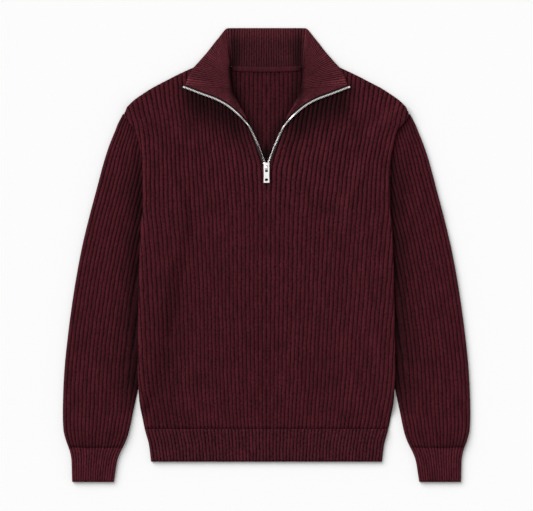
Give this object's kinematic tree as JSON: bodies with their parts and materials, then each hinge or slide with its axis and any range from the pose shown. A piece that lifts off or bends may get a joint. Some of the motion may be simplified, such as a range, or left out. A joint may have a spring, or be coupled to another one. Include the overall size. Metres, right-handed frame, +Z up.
{
  "type": "half zip sweatshirt",
  "caption": "Rib knit pullover with a stand collar and an open half zip, laid flat on its back with its sleeves along its sides.",
  "frame": {"origin": "on the surface the garment lies on, under the middle of its overall box", "axes": "+X the wearer's left, +Y from the hem to the neck, +Z up from the surface"},
  "size_m": [0.7128, 0.7938, 0.0157],
  "materials": {
    "rib_knit": "matte rib knit, burgundy",
    "fine_rib_knit": "matte fine rib knit, burgundy",
    "zip_tape": "woven tape, dark burgundy",
    "zip_metal": "bright nickel plate"
  },
  "bodies": {
    "garment": {"back": "rib_knit", "front": "rib_knit", "hem_band": "rib_knit", "sleeve_left": "rib_knit", "sleeve_right": "rib_knit", "cuff_left": "rib_knit", "cuff_right": "rib_knit", "collar": "fine_rib_knit", "neck_tape": "fine_rib_knit", "zip_tape_left": "zip_tape", "zip_tape_right": "zip_tape", "zip_stop_left": "zip_metal", "zip_stop_right": "zip_metal", "zip_slider": "zip_metal"},
    "pull_tab": {"pull_tab": "zip_metal"}
  },
  "joints": [
    {"name": "pull_hinge", "type": "hinge", "parent": "garment", "child": "pull_tab", "pos_m": [0, 0.1531, 0.0109], "axis": [-1, 0, 0], "range_deg": [0, 180]}
  ]
}
